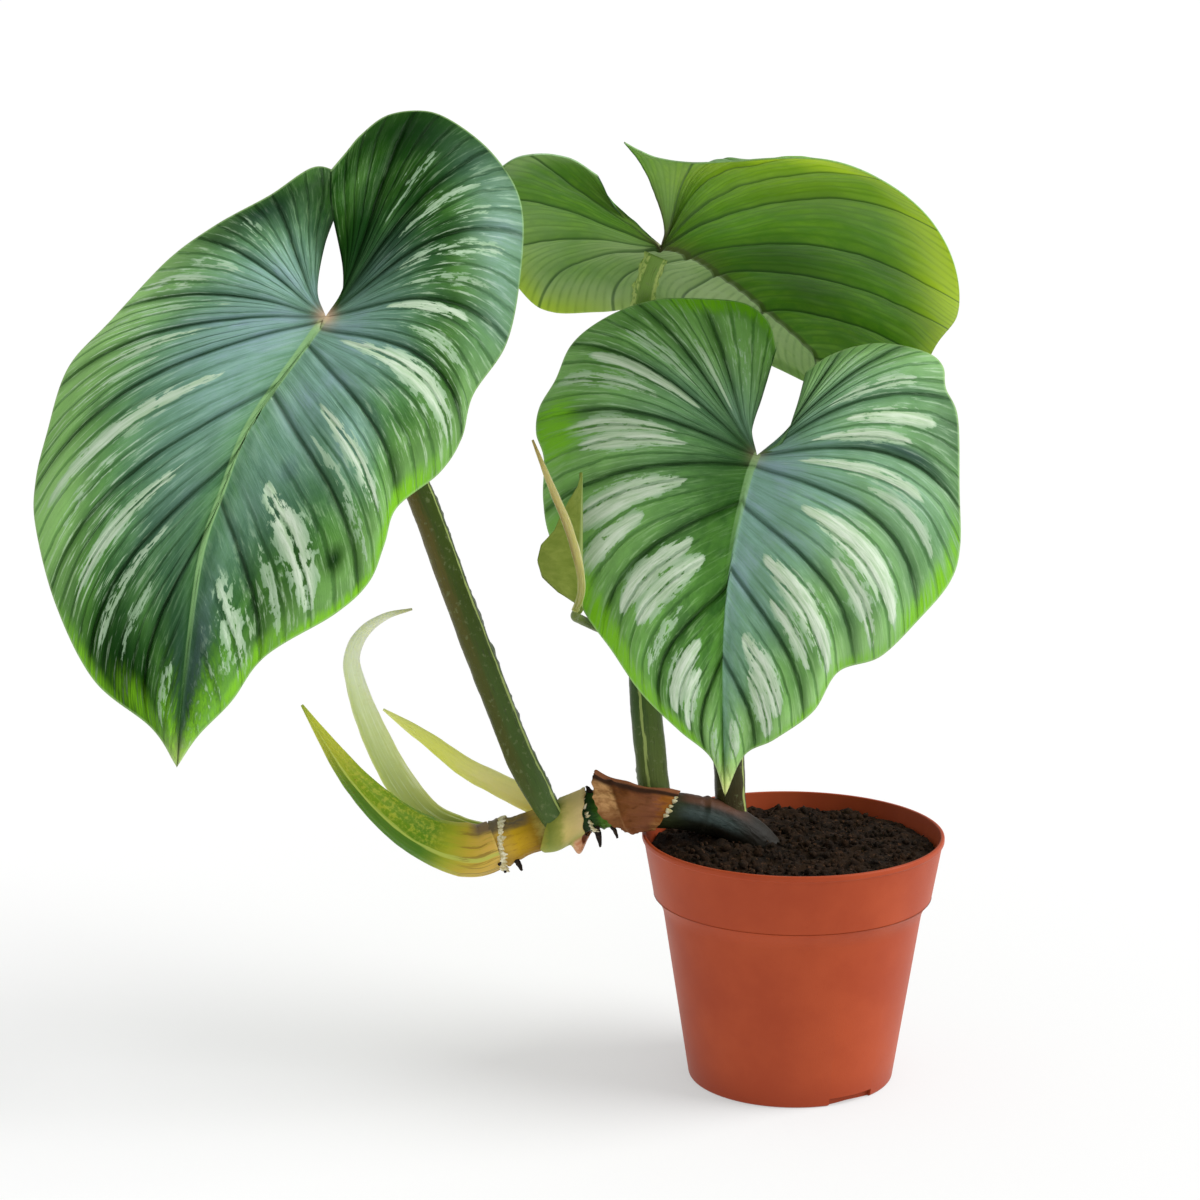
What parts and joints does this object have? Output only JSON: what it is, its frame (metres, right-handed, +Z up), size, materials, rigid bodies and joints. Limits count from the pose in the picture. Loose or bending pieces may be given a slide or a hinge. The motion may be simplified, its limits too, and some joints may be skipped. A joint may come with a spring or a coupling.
{
  "type": "potted philodendron plant",
  "caption": "Creeping aroid house plant with large heart-shaped, silver-marked leaves on stalks, its stem leaning over the rim of a round terracotta-coloured nursery pot of soil.",
  "frame": {"origin": "middle of the pot's base, on the surface that the pot stands on", "axes": "+Z up; -Y toward the front, where the upper faces of two leaves show; the stem creeps out over the rim toward -X"},
  "size_m": [0.3775, 0.1917, 0.4162],
  "materials": {
    "pot": "moulded terracotta-coloured plastic, satin, with faint turning marks",
    "soil": "crumbly dark potting soil with brown fibres, matte",
    "stem": "living stem, yellow ochre to green with tan nodes, satin",
    "roots": "short dark root stubs, matte",
    "stalk": "smooth green to olive-brown leaf stalk with pale ragged margins, satin",
    "blade_upper": "green blade with silver patches between sunken veins, waxy satin",
    "blade_under": "yellow-green underside with darker raised veins, satin",
    "sheath_green": "yellow-green speckled sheath with a tan base, satin",
    "sheath_pale": "pale green translucent-looking sheath, satin",
    "sheath_yellow": "yellow-green sheath, satin",
    "sheath_dry": "dry brown papery sheath, tan inside, fibrous",
    "young_leaf": "olive-green folded young leaf, satin"
  },
  "bodies": {
    "root": {"pot": "pot", "soil": "soil", "stem": "stem", "stalk_left": "stalk", "stalk_back": "stalk", "stalk_front": "stalk", "leaf_front": "blade_upper", "leaf_left": "blade_upper", "leaf_back": "blade_under", "sheath_green": "sheath_green", "sheath_pale": "sheath_pale", "sheath_yellow": "sheath_yellow", "sheath_dry": "sheath_dry", "young_stalk": "stalk", "young_leaf": "young_leaf", "sheath_young": "sheath_pale"}
  },
  "joints": []
}
